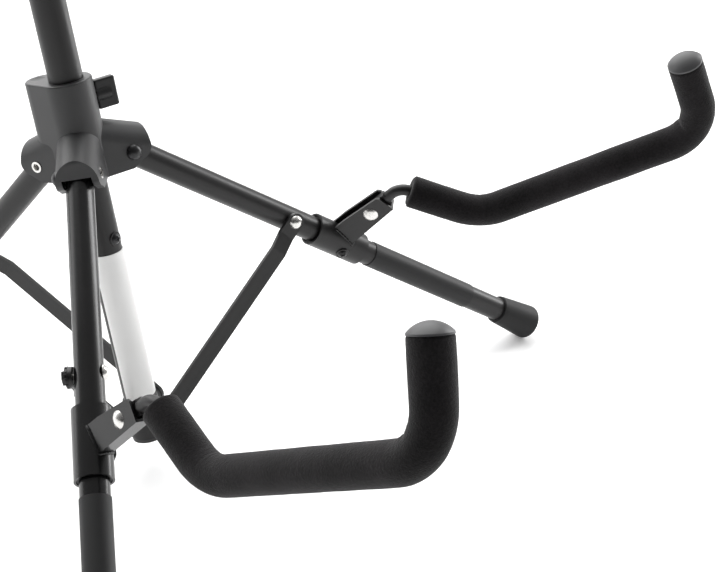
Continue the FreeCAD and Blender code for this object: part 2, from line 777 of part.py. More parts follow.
def make_sleeve(side):
    way = sleeve_screw_way(side)
    start = size("sleeve_start")
    barrel = cylinder(f"{side}_sleeve_barrel", "Dims.sleeve_od / 2", "Dims.sleeve_len", on_leg(side, start))
    boss_top = "Dims.sleeve_od / 2 + Dims.screw_boss_h"
    boss = cylinder(f"{side}_sleeve_boss", "Dims.screw_boss_d / 2", boss_top, way)
    inside_at = on_leg(side, start - 1)
    inside = cylinder(f"{side}_sleeve_inside", "Dims.sleeve_id / 2", "Dims.sleeve_len + 2", inside_at)
    hole = cylinder(f"{side}_sleeve_screw_hole", "2", "20", way)
    blank = fuse(f"{side}_sleeve_blank", barrel, boss)
    keep(f"{side}_arm_sleeve", cut(f"{side}_arm_sleeve", blank, inside, hole))
    bush = tube(f"{side}_bush_tube", "Dims.sleeve_id", "Dims.leg_od", "Dims.sleeve_len - 3")
    bush.Placement = on_leg(side, start + 2)
    bush_hole = cylinder(f"{side}_bush_screw_hole", "2", "20", way)
    keep(f"{side}_sleeve_bush", cut(f"{side}_sleeve_bush", bush, bush_hole))


def make_clevis(side):
    """A channel of plate, open towards the hub, welded to the sleeve and pierced for the rivet."""
    reach = size("rivet_off")
    up, down = -size("clevis_up"), size("clevis_down")
    nose = size("clevis_nose")
    outline = [
        (str(-reach), str(up * 1.35)),
        (str(-20), str(up * 1.35)),
        (str(nose - 2), str(up)),
        (str(nose), str(up * 0.72)),
        (str(nose), str(down)),
        (str(-reach), str(down * 1.2)),
    ]
    block = padded(f"{side}_clevis_block", "XY_Plane", outline, "2 * Dims.clevis_half")
    gap_half = size("clevis_half") - size("plate_thick")
    web = size("plate_thick")
    gap = [
        (str(-reach - 1), str(up * 2)),
        (str(nose + 1), str(up * 2)),
        (str(nose + 1), str(down - web)),
        (str(-reach - 1), str(down * 1.2 - web)),
    ]
    channel = padded(f"{side}_clevis_gap", "XY_Plane", gap, str(2 * gap_half))
    pierce = cylinder(f"{side}_clevis_hole", "Dims.pin_d / 2", "40", shift(z=-20))
    clevis = cut(f"{side}_clevis_cut", block, channel, pierce)
    clevis.Placement = clevis_frame(side)
    inside_at = on_leg(side, size("sleeve_start") - 60)
    inside = cylinder(f"{side}_clevis_inside", "Dims.sleeve_od / 2", "200", inside_at)
    keep(f"{side}_clevis", cut(f"{side}_clevis", clevis, inside))
    half = size("clevis_half")
    frame = clevis_frame(side)
    shank = cylinder(f"{side}_arm_rivet_shank", "Dims.pin_d / 2", str(2 * half), shift(z=-half))
    heads = [
        dome(f"{side}_arm_rivet_head_a", "11.8", "2.2", shift(z=half)),
        dome(f"{side}_arm_rivet_head_b", "11.8", "2.2", shift(z=-half).multiply(turn(X_AXIS, 180))),
    ]
    keep(f"{side}_arm_rivet", fuse(f"{side}_arm_rivet", shank, *heads), frame)


def arm_path():
    """Corners of an arm's centreline in its clevis frame, from the rivet to the tip."""

    def way(degrees):
        return Vector(cosine(degrees), -sine(degrees), 0)

    first = Vector(size("neck_len"), 0, 0)
    second = first + way(DIP_FIRST) * size("drop_len")
    third = second + way(DIP_REST) * size("rest_len")
    last = third + way(RISE_TIP) * size("tip_len")
    return [Vector(size("tongue_len") - 1, 0, 0), first, second, third, last]


def make_arm(side):
    corners = arm_path()
    bends = [size("neck_bend_radius"), size("bend_radius"), size("tip_bend_radius")]
    rod_end = corners[-1] + (corners[-1] - corners[-2]).normalize() * 4
    rod = swept(f"{side}_rod_bar", rounded_path(corners[:-1] + [rod_end], bends), size("rod_d") / 2)
    half_width, half_thick = size("tongue_width") / 2, size("tongue_thick") / 2
    tongue = solid("Box", f"{side}_tongue_box", Length="Dims.tongue_len", Width="Dims.tongue_width")
    tongue.setExpression("Height", "Dims.tongue_thick")
    tongue.Placement = shift(0, -half_width, -half_thick)
    end_at = shift(z=-half_thick)
    tongue_end = cylinder(f"{side}_tongue_end", "Dims.tongue_width / 2", "Dims.tongue_thick", end_at)
    blank = fuse(f"{side}_rod_blank", rod, tongue, tongue_end)
    pierce = cylinder(f"{side}_rod_hole", "Dims.pin_d / 2 + 0.05", "30", shift(z=-15))
    keep(f"{side}_arm_rod", cut(f"{side}_arm_rod", blank, pierce), clevis_frame(side))
    first_way = (corners[2] - corners[1]).normalize()
    foam_corners = [corners[1] + first_way * size("foam_start")] + corners[2:]
    path = rounded_path(foam_corners, bends[1:])
    foam = swept(f"{side}_arm_foam", path, size("foam_od") / 2, size("rod_d") / 2)
    keep(f"{side}_arm_foam", foam, clevis_frame(side))
    top = dome(f"{side}_cap_dome", "Dims.foam_od - 0.1", "Dims.cap_h", shift(z=size("cap_rim") - 0.001))
    rim = cylinder(f"{side}_cap_rim", "Dims.foam_od / 2", "Dims.cap_rim")
    cap = fuse(f"{side}_cap_blank", rim, top)
    seat = cylinder(f"{side}_cap_seat", "Dims.rod_d / 2 + 0.03", "4.05", shift(z=-0.001))
    tip_way = (corners[-1] - corners[-2]).normalize()
    at_tip = clevis_frame(side).multiply(Placement(corners[-1], Rotation(Z_AXIS, tip_way)))
    keep(f"{side}_arm_cap", cut(f"{side}_arm_cap", cap, seat), at_tip)


def sleeve_screw_way(side):
    """Z out of the sleeve's lower rear face, where the screw that holds it on its leg goes in."""
    place = leg_frame(side).multiply(shift(x=size("sleeve_start") + size("sleeve_screw_reach")))
    return place.multiply(turn(X_AXIS, 180 + MIRROR[side] * 52))


def sleeve_screw(side):
    screw = cross_screw(f"{side}_sleeve_screw", 8, 2.2, 4, 5)
    under_head = shift(z=size("sleeve_od") / 2 + size("screw_boss_h"))
    keep(f"{side}_sleeve_screw", screw, sleeve_screw_way(side).multiply(under_head))


# ---------------------------------------------------------------- clamps


def wing_knob(name, frame, start):
    """A flat wing knob on a round hub, pointing along the frame's X."""
    neck = cylinder(f"{name}_neck", "5.6", "11", Placement(Vector(start, 0, 0), ALONG_X))
    wing_len = "Dims.knob_end - Dims.knob_start"
    wing = solid("Box", f"{name}_wing", Length=wing_len, Width="Dims.wing_thick", Height="Dims.wing_height")
    wing.Placement = shift(start, -size("wing_thick") / 2, -size("wing_height") / 2)
    rounded = doc.addObject("Part::Fillet", f"{name}_rounded")
    rounded.Base = wing
    rounded.Edges = [(index, 1.6, 1.6) for index in range(1, 13)]
    socket_at = Placement(Vector(start - 0.001, 0, 0), ALONG_X)
    socket = cylinder(f"{name}_socket", "Dims.clamp_screw_d / 2", "8.001", socket_at)
    keep(name, cut(name, fuse(f"{name}_blank", neck, rounded), socket), frame)


def clamp_screw(name, frame, first, last):
    screw_at = Placement(Vector(first, 0, 0), ALONG_X)
    screw = cylinder(name, "Dims.clamp_screw_d / 2", str(last - first), screw_at)
    keep(name, screw, frame)


def clamp_insert(name, frame, start):
    """The threaded insert that a clamp's screw runs in."""
    insert_at = Placement(Vector(start, 0, 0), ALONG_X)
    insert = tube(name, "Dims.insert_d", "Dims.clamp_screw_d + 0.1", f"Dims.{name}_len", insert_at)
    keep(name, insert, frame)


def make_hub_clamp():
    frame = radial(AZIMUTHS["far"]).multiply(shift(z=size("knob_height")))
    start = size("knob_start")
    wing_knob("hub_knob", frame, start)
    clamp_screw("hub_knob_screw", frame, size("mast_od") / 2 + 0.4, start + 8)
    clamp_insert("hub_insert", frame, HUB_INSERT_START)


def make_clutch():
    """The neck tube's clamp at the top of the mast: a collar, its insert, knob and screw."""
    top = size("mast_top")
    grip = 24
    socket_wall = "Dims.mast_od / 2"
    outer = "Dims.clutch_od / 2"
    neck_bore = "Dims.neck_od / 2 + 0.15"
    outline = [
        (socket_wall, str(-grip)),
        (f"{outer} - 2", str(-grip)),
        (outer, str(-grip + 2)),
        (outer, f"Dims.clutch_h - {grip} - 4"),
        (f"{outer} - 4", f"Dims.clutch_h - {grip}"),
        (neck_bore, f"Dims.clutch_h - {grip}"),
        (neck_bore, "0"),
        (socket_wall, "0"),
    ]
    collar_body = revolved("clutch_turned", outline)
    knob_z = 13
    way = turn(Z_AXIS, 90).multiply(shift(z=knob_z))
    insert_at = way.multiply(Placement(Vector(NECK_INSERT_START, 0, 0), ALONG_X))
    hole = cylinder("clutch_hole", "Dims.insert_d / 2", "12", insert_at)
    screw_at = way.multiply(Placement(Vector(), ALONG_X))
    screw_hole = cylinder("clutch_screw_hole", "Dims.clamp_screw_d / 2 + 0.1", "30", screw_at)
    keep("neck_clutch", cut("neck_clutch", collar_body, hole, screw_hole), HUB.multiply(shift(z=top)))
    frame = HUB.multiply(shift(z=top)).multiply(way)
    start = size("clutch_od") / 2 + 0.4
    wing_knob("neck_knob", frame, start)
    clamp_screw("neck_knob_screw", frame, size("neck_od") / 2 + 0.4, start + 8)
    clamp_insert("neck_insert", frame, NECK_INSERT_START)


# ---------------------------------------------------------------- neck part


def yoke_frame():
    return HUB.multiply(shift(z=size("neck_top") + 6)).multiply(turn(X_AXIS, -size("yoke_tilt")))


def make_neck():
    length = "Dims.neck_top - Dims.neck_bottom"
    neck = tube("neck_tube", "Dims.neck_od", "Dims.neck_od - 2 * Dims.tube_wall", length)
    keep("neck_tube", neck, HUB.multiply(shift(z=size("neck_bottom"))))
    half, depth = size("yoke_half"), size("yoke_depth")
    back = -size("yoke_back")
    corners = [Vector(x, y, 0) for x, y in ((-half, -depth), (-half, back), (half, back), (half, -depth))]
    bends = [size("yoke_bend")] * 2
    path = rounded_path(corners, bends)
    keep("yoke_rod", swept("yoke_rod", path, size("rod_d") / 2), yoke_frame())
    foam_parts = []
    gap = size("neck_od") / 2 + 5
    for sign in (-1, 1):
        tip = Vector(sign * half, -depth + 3, 0)
        prong = [tip, Vector(sign * half, back, 0), Vector(sign * gap, back, 0)]
        run = rounded_path(prong, [size("yoke_bend")])
        foam_parts.append(swept(f"yoke_foam{sign}", run, size("yoke_foam_od") / 2, size("rod_d") / 2))
    keep("yoke_foam", fuse("yoke_foam", *foam_parts), yoke_frame())
    caps = []
    for sign in (-1, 1):
        cap = dome(f"yoke_cap_dome{sign}", "Dims.yoke_foam_od", "Dims.yoke_cap_h")
        seat = cylinder(f"yoke_cap_seat{sign}", "Dims.rod_d / 2 + 0.03", "3.05", shift(z=-0.001))
        made = cut(f"yoke_cap{sign}", cap, seat)
        made.Placement = Placement(Vector(sign * half, -depth + 3, 0), Rotation(Z_AXIS, Vector(0, -1, 0)))
        caps.append(made)
    keep("yoke_caps", fuse("yoke_caps", *caps), yoke_frame())
    head_outline = [
        ("Dims.neck_od / 2 - Dims.tube_wall", "-22"),
        ("Dims.neck_od / 2 - Dims.tube_wall", "0"),
        ("Dims.neck_od / 2 + 3", "0"),
        ("Dims.neck_od / 2 + 3", "12"),
        ("Dims.neck_od / 2 + 1", "15"),
        ("0", "15"),
        ("0", "-22"),
    ]
    head = revolved("yoke_head_turned", head_outline)
    snout = solid("Box", "yoke_head_snout", shift(-13, -25, -1), Length="26", Width="20", Height="15")
    snout.Placement = shift(z=1).multiply(turn(X_AXIS, -size("yoke_tilt"))).multiply(snout.Placement)
    blank = fuse("yoke_head_blank", head, snout)
    blank.Placement = HUB.multiply(shift(z=size("neck_top")))
    rod_way = doc.addObject("Part::Feature", "yoke_rod_way")
    rod_way.Shape = nodes["yoke_rod"].Shape
    keep("yoke_head", cut("yoke_head_cut", blank, rod_way))


make_hub()
hinge_hardware()
make_mast()
for leg_name in AZIMUTHS:
    make_leg(leg_name)
    make_strut(leg_name)
    strut_hardware(leg_name)
make_bracket()
for side_name in SIDES:
    make_sleeve(side_name)
    make_clevis(side_name)
    make_arm(side_name)
    sleeve_screw(side_name)
make_hub_clamp()
make_clutch()
make_neck()

doc.recompute()
failed = [thing.Name for thing in doc.Objects if "Invalid" in thing.State or "Error" in thing.State]
if failed:
    raise SystemExit(f"objects that failed: {failed}")
for node, thing in nodes.items():
    if thing.Shape.isNull() or not thing.Shape.isValid() or not thing.Shape.Solids:
        raise SystemExit(f"{node} has no valid solid")

os.makedirs("parts", exist_ok=True)
for node, thing in nodes.items():
    thing.Shape.exportStep(f"parts/{node}.step")

whole = Part.makeCompound([thing.Shape for thing in nodes.values()]).BoundBox
print(f"{len(nodes)} sub-parts, x {whole.XMin:.1f}..{whole.XMax:.1f}, y {whole.YMin:.1f}..{whole.YMax:.1f}, "
      f"z {whole.ZMin:.2f}..{whole.ZMax:.1f}, hub height {hub_height:.2f}, rear leg {leg_ends['rear']:.1f}")
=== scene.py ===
"""Looks of a folding guitar stand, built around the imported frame: procedural materials for the CAD pieces,
detailed foam on the arms and the neck yoke, weld beads at the clevises, a pale studio and a camera at the
photograph's angle."""
import json
import math

import bpy
from mathutils import Matrix, Vector, noise


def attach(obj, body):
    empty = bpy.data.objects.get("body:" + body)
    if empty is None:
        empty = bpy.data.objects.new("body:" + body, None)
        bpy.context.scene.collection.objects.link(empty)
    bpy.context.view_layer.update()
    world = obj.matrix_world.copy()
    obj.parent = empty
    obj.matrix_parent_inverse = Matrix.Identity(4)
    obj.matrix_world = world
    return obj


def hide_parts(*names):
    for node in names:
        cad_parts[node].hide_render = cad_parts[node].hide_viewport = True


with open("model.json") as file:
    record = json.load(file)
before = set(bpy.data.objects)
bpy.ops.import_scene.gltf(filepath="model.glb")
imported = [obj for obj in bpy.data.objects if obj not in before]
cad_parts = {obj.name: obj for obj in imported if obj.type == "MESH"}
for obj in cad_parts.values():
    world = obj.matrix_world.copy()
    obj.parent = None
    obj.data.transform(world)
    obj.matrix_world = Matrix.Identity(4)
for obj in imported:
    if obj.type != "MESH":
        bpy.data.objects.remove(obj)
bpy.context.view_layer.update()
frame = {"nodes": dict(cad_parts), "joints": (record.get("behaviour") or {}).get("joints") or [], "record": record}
MM = 0.001

# ---------------------------------------------------------------- materials


NOISE_LOW, NOISE_HIGH = 0.3, 0.7  # where most of a noise texture's values lie


def new_material(name):
    """A node material with its tree, its shader and a texture coordinate node."""
    material = bpy.data.materials.new(name)
    material.use_nodes = True
    tree = material.node_tree
    shader = tree.nodes["Principled BSDF"]
    place = tree.nodes.new("ShaderNodeTexCoord")
    return material, tree, shader, place


def add_noise(tree, place, scale, detail, roughness=0.55):
    """A noise texture in the piece's own space."""
    node = tree.nodes.new("ShaderNodeTexNoise")
    node.inputs["Scale"].default_value = scale
    node.inputs["Detail"].default_value = detail
    node.inputs["Roughness"].default_value = roughness
    tree.links.new(place.outputs["Object"], node.inputs["Vector"])
    return node


def add_range(tree, source, low, high):
    """Maps a noise pattern to a range of values."""
    node = tree.nodes.new("ShaderNodeMapRange")
    node.inputs["From Min"].default_value = NOISE_LOW
    node.inputs["From Max"].default_value = NOISE_HIGH
    node.inputs["To Min"].default_value = low
    node.inputs["To Max"].default_value = high
    tree.links.new(source, node.inputs["Value"])
    return node.outputs["Result"]


def add_colours(tree, source, low, high, start=NOISE_LOW, end=NOISE_HIGH):
    """Turns a noise pattern into a blend of two colours."""
    node = tree.nodes.new("ShaderNodeValToRGB")
    node.color_ramp.elements[0].position = start
    node.color_ramp.elements[0].color = (*low, 1)
    node.color_ramp.elements[1].position = end
    node.color_ramp.elements[1].color = (*high, 1)
    tree.links.new(source, node.inputs["Fac"])
    return node.outputs["Color"]


def add_bump(tree, shader, heights):
    """Chains bumps, each (height output, distance in metres, strength)."""
    last = None
    for source, distance, strength in heights:
        node = tree.nodes.new("ShaderNodeBump")
        node.inputs["Distance"].default_value = distance
        node.inputs["Strength"].default_value = strength
        tree.links.new(source, node.inputs["Height"])
        if last is not None:
            tree.links.new(last.outputs["Normal"], node.inputs["Normal"])
        last = node
    tree.links.new(last.outputs["Normal"], shader.inputs["Normal"])


GRAIN_STRENGTH, PEEL_STRENGTH = 0.6, 0.5
PEEL_SCALE = 0.25  # of the grain's scale


def surface(name, dark, light, rough, grain, grain_depth, metallic=0.0, blotch=18.0, specular=0.5,
            peel_depth=0.0):
    """A plain surface: two close tones in soft blotches, a range of roughness, a fine grain and, on paint,
    some orange peel. Depths are in metres."""
    material, tree, shader, place = new_material(name)
    shader.inputs["Metallic"].default_value = metallic
    shader.inputs["Specular IOR Level"].default_value = specular
    soft = add_noise(tree, place, blotch, 3.0)
    fine = add_noise(tree, place, grain, 3.0, 0.6)
    tree.links.new(add_colours(tree, soft.outputs["Fac"], dark, light), shader.inputs["Base Color"])
    tree.links.new(add_range(tree, soft.outputs["Fac"], *rough), shader.inputs["Roughness"])
    heights = [(fine.outputs["Fac"], grain_depth, GRAIN_STRENGTH)]
    if peel_depth:
        peel = add_noise(tree, place, grain * PEEL_SCALE, 2.0)
        heights.append((peel.outputs["Fac"], peel_depth, PEEL_STRENGTH))
    add_bump(tree, shader, heights)
    return material


CELL_SHARE, BLOTCH_SHARE = 0.55, 0.45  # how far the fine cells and the soft blotches each tint the foam


def foam_material():
    """Closed-cell foam: very dark, a fine pitted skin and a soft sheen at glancing angles."""
    material, tree, shader, place = new_material("foam_skin")
    shader.inputs["Specular IOR Level"].default_value = 0.12
    shader.inputs["Sheen Weight"].default_value = 0.12
    shader.inputs["Sheen Roughness"].default_value = 0.5
    soft = add_noise(tree, place, 22.0, 4.0)
    cells = add_noise(tree, place, 620.0, 5.0, 0.75)
    pits = tree.nodes.new("ShaderNodeTexVoronoi")
    pits.inputs["Scale"].default_value = 900.0
    tree.links.new(place.outputs["Object"], pits.inputs["Vector"])
    mottle = tree.nodes.new("ShaderNodeMath")
    mottle.operation = "MULTIPLY_ADD"
    mottle.inputs[1].default_value = CELL_SHARE
    tree.links.new(cells.outputs["Fac"], mottle.inputs[0])
    blotches = tree.nodes.new("ShaderNodeMath")
    blotches.operation = "MULTIPLY"
    blotches.inputs[1].default_value = BLOTCH_SHARE
    tree.links.new(soft.outputs["Fac"], blotches.inputs[0])
    tree.links.new(blotches.outputs["Value"], mottle.inputs[2])
    dark, light = (0.002, 0.0017, 0.0019), (0.0165, 0.0145, 0.0158)
    colours = add_colours(tree, mottle.outputs["Value"], dark, light, 0.4, 0.62)
    tree.links.new(colours, shader.inputs["Base Color"])
    tree.links.new(add_range(tree, cells.outputs["Fac"], 0.78, 0.95), shader.inputs["Roughness"])
    add_bump(tree, shader, [(pits.outputs["Distance"], 0.0002, 0.7), (cells.outputs["Fac"], 0.0004, 0.8)])
    return material


# One material for each of the record's material slots
MATERIALS = {
    "black_paint": surface("powder_coat", (0.0092, 0.0088, 0.009), (0.0135, 0.0129, 0.0132), (0.36, 0.46),
                           900.0, 0.00003, specular=0.4, peel_depth=0.00006),
    "hub_plastic": surface("moulded_nylon", (0.024, 0.024, 0.025), (0.031, 0.031, 0.032), (0.42, 0.52),
                           1500.0, 0.00006),
    "foot_rubber": surface("foot_rubber", (0.013, 0.013, 0.0135), (0.019, 0.019, 0.0195), (0.55, 0.65),
                           1200.0, 0.00004, specular=0.3),
    "guard_plastic": surface("matte_guard", (0.011, 0.011, 0.0115), (0.015, 0.015, 0.0155), (0.5, 0.6),
                             1400.0, 0.00004, specular=0.35),
    "cap_plastic": surface("cap_plastic", (0.05, 0.05, 0.052), (0.062, 0.062, 0.064), (0.42, 0.5),
                           1500.0, 0.00003),
    "white_plastic": surface("white_plastic", (0.91, 0.91, 0.9), (0.95, 0.95, 0.94), (0.3, 0.38),
                             900.0, 0.00002),
    "knob_plastic": surface("knob_plastic", (0.009, 0.009, 0.0095), (0.013, 0.013, 0.0135), (0.4, 0.5),
                            1400.0, 0.00005, specular=0.4),
    "inner_plastic": surface("inner_plastic", (0.02, 0.02, 0.02), (0.028, 0.028, 0.028), (0.5, 0.6),
                             1400.0, 0.00004),
    "brass_insert": surface("brass", (0.3, 0.22, 0.11), (0.36, 0.26, 0.13), (0.35, 0.45),
                            900.0, 0.00002, metallic=1.0),
    "steel_screw": surface("zinc_steel", (0.5, 0.5, 0.5), (0.58, 0.58, 0.57), (0.28, 0.38),
                           1200.0, 0.00003, metallic=1.0),
    "bright_steel": surface("nickel_plate", (0.66, 0.65, 0.63), (0.74, 0.73, 0.71), (0.2, 0.32),
                            260.0, 0.00006, metallic=1.0, blotch=420.0),
    "black_fasteners": surface("black_zinc", (0.016, 0.016, 0.017), (0.026, 0.026, 0.028), (0.26, 0.36),
                               1200.0, 0.00003, metallic=0.35),
    "foam": foam_material(),
}

# The near leg, its arm sleeve and its clevis are glossier than the far ones, and their copy of the black paint is
# darker, as painted shade. Both sides' weld beads take this same darker, glossier copy
SHADED_ENAMEL = surface("shaded_gloss_enamel", (0.0045, 0.0045, 0.0048), (0.0065, 0.0065, 0.0069), (0.2, 0.28),
                 900.0, 0.00002, specular=0.38, peel_depth=0.00004)
SHADED_NODES = ("near_leg", "near_arm_sleeve", "near_clevis")

node_slots = {entry["node"]: entry["material_slot"] for entry in frame["record"]["subparts"]}
for node, thing in frame["nodes"].items():
    thing.data.materials.clear()
    # the near pieces get the copy of the black paint that is darkened as painted shade
    thing.data.materials.append(SHADED_ENAMEL if node in SHADED_NODES else MATERIALS[node_slots[node]])

# ---------------------------------------------------------------- frames from the record

SIDES = ("near", "far")
joints = {joint["name"]: joint for joint in frame["joints"]}


def joint_place(name):
    return Vector(joints[name]["pos_m"])


def joint_axis(name):
    return Vector(joints[name]["axis"]).normalized()


def frame_of(origin, x_axis, z_axis):
    """A matrix from a local frame in metres to the shared frame."""
    y_axis = z_axis.cross(x_axis)
    made = Matrix((x_axis, y_axis, z_axis)).transposed().to_4x4()
    made.translation = origin
    return made


MAST_UP = joint_axis("neck_slide")
HUB_KNOB_HEIGHT = 45 * MM  # above the hub frame's origin, which is level with the leg hinges
HUB_ORIGIN = joint_place("hub_knob_turn") - MAST_UP * HUB_KNOB_HEIGHT


def leg_axis(leg):
    return (joint_place(f"{leg}_strut_pivot") - joint_place(f"{leg}_leg_hinge")).normalized()


def clevis_frame(side):
    """Origin on the arm's rivet, X out of the sleeve, Z along the rivet."""
    hinge, along, rivet = joint_place(f"{side}_leg_hinge"), leg_axis(side), joint_place(f"{side}_arm_pivot")
    offset = rivet - hinge
    out = (offset - along * offset.dot(along)).normalized()
    return frame_of(rivet, out, -joint_axis(f"{side}_arm_pivot"))


def yoke_frame():
    """Origin at the yoke rod's middle plane above the neck tube, X to the right, Z leaning back."""
    up = Matrix.Rotation(math.radians(-YOKE_TILT), 3, "X") @ MAST_UP
    return frame_of(HUB_ORIGIN + MAST_UP * YOKE_HEIGHT, Vector((1, 0, 0)), up)


# ---------------------------------------------------------------- pieces


def make_piece(name, vertices, faces, material, body):
    """A smooth mesh in a material, which rides on a body."""
    mesh = bpy.data.meshes.new(name)
    mesh.from_pydata(vertices, [], faces)
    mesh.update()
    mesh.shade_smooth()
    mesh.materials.append(material)
    piece = bpy.data.objects.new(name, mesh)
    bpy.context.scene.collection.objects.link(piece)
    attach(piece, body)
    return piece


# ---------------------------------------------------------------- foam

# An arm's centreline in its clevis frame: its runs in mm, and their angles in degrees from the frame's X
# towards its -Y. The foam's bends are wider than those of the rod inside it
NECK_LEN, DROP_LEN, REST_LEN, TIP_LEN = 33.1, 68.1, 188.2, 63.2
DROP_ANGLE, REST_ANGLE, TIP_ANGLE = -66.8, -18.3, 63.3
ARM_BENDS = (36, 32)
ARM_FOAM_START = 9
ARM_FOAM_RADIUS = 12.7
ARM_SEEDS = (3.1, 10.8)

# The yoke's centreline in its own frame: two prongs that point forwards, and the run that joins them
YOKE_TILT = 12
YOKE_HEIGHT = 414 * MM
YOKE_HALF, YOKE_DEPTH, YOKE_BACK, YOKE_BEND = 40, 75, -17, 22
YOKE_FOAM_GAP = 16
YOKE_FOAM_RADIUS = 11

# The skin of a sleeve. Radii, depths, widths, steps, pitches and rounds are in mm, scales are per mm, and
# the folds' wander is in radians
ROD_RADIUS = 4.5
BORE_RADIUS = ROD_RADIUS + 0.05
STATION_STEP = 1.5
RING_POINTS = 72
SMOOTHINGS = 6
WAVE_DEPTH, WAVE_SCALE = 0.22, 0.045
RIPPLE_DEPTH, RIPPLE_SCALE = 0.06, 0.2
FOLD_DEPTH, FOLD_PITCH = 0.32, 5.2
FOLD_WANDER, WANDER_SCALE = 2.4, 0.12
ARM_PINCHES = (0.3, 1.9)
YOKE_PINCHES = (0.8,)
PINCH_WIDTH = 3.2
OUTSIDE_STRETCH = 0.35
FACE_DEPTH, FACE_SCALE = 0.15, 0.5
OPEN_ROUND, CAPPED_ROUND = 1.8, 0.5


def arm_corners():
    def way(degrees):
        return Vector((math.cos(math.radians(degrees)), -math.sin(math.radians(degrees)), 0))

    first = Vector((NECK_LEN, 0, 0)) + way(DROP_ANGLE) * ARM_FOAM_START
    second = Vector((NECK_LEN, 0, 0)) + way(DROP_ANGLE) * DROP_LEN
    third = second + way(REST_ANGLE) * REST_LEN
    return [first, second, third, third + way(TIP_ANGLE) * TIP_LEN]


def stations(corners, radii):
    """Stations along a path of straight runs and arcs: (place in mm, forward, side, bend).
    bend is -1 to 1: how fully the path bends towards side there."""
    found = []
    start = corners[0]

    def straight(a, b):
        run = (b - a).length
        steps = max(1, round(run / STATION_STEP))
        forward = (b - a).normalized()
        side = Vector((-forward.y, forward.x, 0))
        for step in range(steps):
            found.append((a.lerp(b, step / steps), forward, side, 0.0))
        return forward, side

    for before, corner, after, radius in zip(corners, corners[1:], corners[2:], radii):
        to_before = (before - corner).normalized()
        to_after = (after - corner).normalized()
        half = to_before.angle(to_after) / 2
        run = radius / math.tan(half)
        enter = corner + to_before * run
        centre = corner + (to_before + to_after).normalized() * (radius / math.sin(half))
        forward, side = straight(start, enter)
        sweep = math.pi - 2 * half
        hand = 1 if (centre - enter).dot(side) > 0 else -1
        steps = max(4, round(radius * sweep / STATION_STEP))
        for step in range(steps):
            turn = Matrix.Rotation(hand * sweep * step / steps, 3, "Z")
            ease = math.sin(math.pi * (step + 0.5) / steps) ** 0.5
            found.append((centre + turn @ (enter - centre), turn @ forward, turn @ side, hand * ease))
        start = corner + to_after * run
    forward, side = straight(start, corners[-1])
    found.append((corners[-1], forward, side, 0.0))
    return found


def foam_sleeve(name, corners, bends, pinches, rounds, outer, to_world, body, node, seed):
    """A closed foam sleeve along a path, with rounded ends and a bore for the rod. Its skin is faintly wavy,
    drawn in a little round the outside of each bend, and gathered in small folds and one pinched crease on
    the inside."""
    path = stations(corners, bends)
    travelled = [0.0]
    for (a, *_), (b, *_) in zip(path, path[1:]):
        travelled.append(travelled[-1] + (b - a).length)
    length = travelled[-1]
    smooth = [p[3] for p in path]
    for _ in range(SMOOTHINGS):
        smooth = [
            (smooth[max(i - 1, 0)] + smooth[i] * 2 + smooth[min(i + 1, len(smooth) - 1)]) / 4
            for i in range(len(smooth))
        ]
    bent = [0.0] + [p[3] for p in path] + [0.0]
    starts = [travelled[i] for i in range(len(path)) if bent[i + 1] and not bent[i]]
    ends = [travelled[i] for i in range(len(path)) if bent[i + 1] and not bent[i + 2]]
    creases = [((a + b) / 2, depth) for a, b, depth in zip(starts, ends, pinches)]
    rings = []

    def ring(index, radius_at):
        place, forward, side, _ = path[index]
        points = []
        for k in range(RING_POINTS):
            angle = 2 * math.pi * k / RING_POINTS
            normal = side * math.cos(angle) + Vector((0, 0, math.sin(angle)))
            points.append(place + normal * radius_at(angle, place + normal * outer))
        return points

    def skin(index, inset):
        bend = smooth[index]
        s = travelled[index]

        def radius_at(angle, at):
            towards = math.cos(angle) * bend
            wave = noise.noise(at * WAVE_SCALE + Vector((seed, 0, 0))) * WAVE_DEPTH
            wave += noise.noise(at * RIPPLE_SCALE) * RIPPLE_DEPTH
            fold = 0.0
            if towards > 0:
                wander = noise.noise(at * WANDER_SCALE + Vector((0, seed, 0))) * FOLD_WANDER
                phase = s * 2 * math.pi / FOLD_PITCH + wander
                fold = -FOLD_DEPTH * towards ** 2 * (0.5 + 0.5 * math.sin(phase))
                for middle, depth in creases:
                    fold -= depth * towards ** 3 * math.exp(-((s - middle) / PINCH_WIDTH) ** 2)
            stretch = -OUTSIDE_STRETCH * max(0.0, -towards)
            return outer + wave + fold + stretch - inset

        return radius_at

    for index, s in enumerate(travelled):
        inset = 0.0
        for edge, end_round in ((s, rounds[0]), (length - s, rounds[1])):
            if edge < end_round:
                inset = end_round - math.sqrt(max(0.0, end_round ** 2 - (end_round - edge) ** 2))
        rings.append(ring(index, skin(index, inset)))
    last = len(path) - 1
    face = (outer - OPEN_ROUND + ROD_RADIUS) / 2

    def on_face(angle, at):
        return face + FACE_DEPTH * noise.noise(at * FACE_SCALE)

    def on_bore(angle, at):
        return BORE_RADIUS

    rings.append(ring(last, on_face))
    rings.extend(ring(index, on_bore) for index in range(last, -1, -1))
    rings.append(ring(0, on_face))
    vertices = [to_world @ (point * MM) for points in rings for point in points]
    faces = []
    for number in range(len(rings)):
        a = number * RING_POINTS
        b = (number + 1) % len(rings) * RING_POINTS
        for k in range(RING_POINTS):
            n = (k + 1) % RING_POINTS
            faces.append((a + k, a + n, b + n, b + k))
    piece = make_piece(name, vertices, faces, MATERIALS["foam"], body)
    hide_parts(node)


for side, seed in zip(SIDES, ARM_SEEDS):
    foam_sleeve(f"{side}_arm_foam_skin", arm_corners(), ARM_BENDS, ARM_PINCHES, (OPEN_ROUND, CAPPED_ROUND),
                ARM_FOAM_RADIUS, clevis_frame(side), f"{side}_arm", f"{side}_arm_foam", seed)

